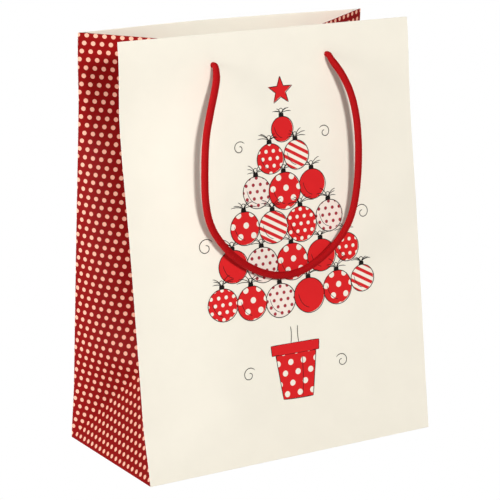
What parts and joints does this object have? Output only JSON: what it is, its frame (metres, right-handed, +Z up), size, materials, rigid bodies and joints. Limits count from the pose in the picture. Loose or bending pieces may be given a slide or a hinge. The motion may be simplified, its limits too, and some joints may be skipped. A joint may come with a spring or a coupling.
{
  "type": "rope handle paper gift bag",
  "caption": "Folded paper gift bag with inward-folding side gussets, turned-in hem, reinforced base and two hanging rope handles knotted inside the mouth.",
  "frame": {"origin": "middle of the base's underside, on the surface that the bag stands on", "axes": "+Z up, the front panel faces -Y, X runs across the front, so the bag's left gusset is at -X"},
  "size_m": [0.254, 0.134, 0.3282],
  "materials": {
    "printed_paper": "cream matt-coated paper, printed outside, plain white inside",
    "dotted_paper": "red matt-coated paper with small cream polka dots, plain white inside",
    "solid_board": "uncoated solid paperboard",
    "rope": "red knitted polypropylene rope, matt"
  },
  "bodies": {
    "base": {"base_outer_flap": "printed_paper", "base_inner_flap": "printed_paper", "base_left_end_flap": "dotted_paper", "base_right_end_flap": "dotted_paper", "base_board": "solid_board"},
    "front_wall": {"front_panel": "printed_paper", "front_card_strip": "solid_board", "front_hem": "printed_paper", "front_left_knot": "rope", "front_right_knot": "rope"},
    "back_wall": {"back_panel": "printed_paper", "back_card_strip": "solid_board", "back_hem": "printed_paper", "back_seam_flap": "printed_paper", "back_left_knot": "rope", "back_right_knot": "rope"},
    "left_front_leaf": {"left_gusset_front_leaf": "dotted_paper", "left_gusset_front_hem": "dotted_paper"},
    "left_back_leaf": {"left_gusset_back_leaf": "dotted_paper", "left_gusset_back_hem": "dotted_paper"},
    "right_front_leaf": {"right_gusset_front_leaf": "dotted_paper", "right_gusset_front_hem": "dotted_paper"},
    "right_back_leaf": {"right_gusset_back_leaf": "dotted_paper", "right_gusset_back_hem": "dotted_paper"},
    "left_foot": {"left_gusset_foot": "dotted_paper"},
    "right_foot": {"right_gusset_foot": "dotted_paper"},
    "front_handle": {"front_handle_rope": "rope"},
    "back_handle": {"back_handle_rope": "rope"}
  },
  "joints": [
    {"name": "front_wall_tilt", "type": "hinge", "parent": "base", "child": "front_wall", "pos_m": [0, -0.067, 0], "axis": [-1, 0, 0], "range_deg": [-4, 3.5]},
    {"name": "back_wall_tilt", "type": "hinge", "parent": "base", "child": "back_wall", "pos_m": [0, 0.067, 0], "axis": [1, 0, 0], "range_deg": [-4, 3.5]},
    {"name": "left_front_leaf_fold", "type": "hinge", "parent": "front_wall", "child": "left_front_leaf", "pos_m": [-0.127, -0.05253, 0.12618], "axis": [0, -0.1045, -0.9945], "range_deg": [-23.3, 20.4]},
    {"name": "left_back_leaf_fold", "type": "hinge", "parent": "back_wall", "child": "left_back_leaf", "pos_m": [-0.127, 0.05253, 0.12618], "axis": [0, -0.1045, 0.9945], "range_deg": [-23.3, 20.4]},
    {"name": "right_front_leaf_fold", "type": "hinge", "parent": "front_wall", "child": "right_front_leaf", "pos_m": [0.127, -0.05253, 0.12618], "axis": [0, 0.1045, 0.9945], "range_deg": [-23.3, 20.4]},
    {"name": "right_back_leaf_fold", "type": "hinge", "parent": "back_wall", "child": "right_back_leaf", "pos_m": [0.127, 0.05253, 0.12618], "axis": [0, 0.1045, -0.9945], "range_deg": [-23.3, 20.4]},
    {"name": "left_foot_fold", "type": "hinge", "parent": "base", "child": "left_foot", "pos_m": [-0.127, 0, 0], "axis": [0, 1, 0], "range_deg": [-8.5, 7.5]},
    {"name": "right_foot_fold", "type": "hinge", "parent": "base", "child": "right_foot", "pos_m": [0.127, 0, 0], "axis": [0, -1, 0], "range_deg": [-8.5, 7.5]},
    {"name": "front_handle_swing", "type": "hinge", "parent": "front_wall", "child": "front_handle", "pos_m": [0, -0.04088, 0.30595], "axis": [-1, 0, 0], "range_deg": [0, 170]},
    {"name": "back_handle_swing", "type": "hinge", "parent": "back_wall", "child": "back_handle", "pos_m": [0, 0.04088, 0.30595], "axis": [1, 0, 0], "range_deg": [0, 170]}
  ],
  "couplings": [
    {"joint": "back_wall_tilt", "follows": "front_wall_tilt", "ratio": 1},
    {"joint": "left_front_leaf_fold", "follows": "front_wall_tilt", "ratio": 5.8},
    {"joint": "left_back_leaf_fold", "follows": "front_wall_tilt", "ratio": 5.8},
    {"joint": "right_front_leaf_fold", "follows": "front_wall_tilt", "ratio": 5.8},
    {"joint": "right_back_leaf_fold", "follows": "front_wall_tilt", "ratio": 5.8},
    {"joint": "left_foot_fold", "follows": "front_wall_tilt", "ratio": 2.1},
    {"joint": "right_foot_fold", "follows": "front_wall_tilt", "ratio": 2.1}
  ]
}
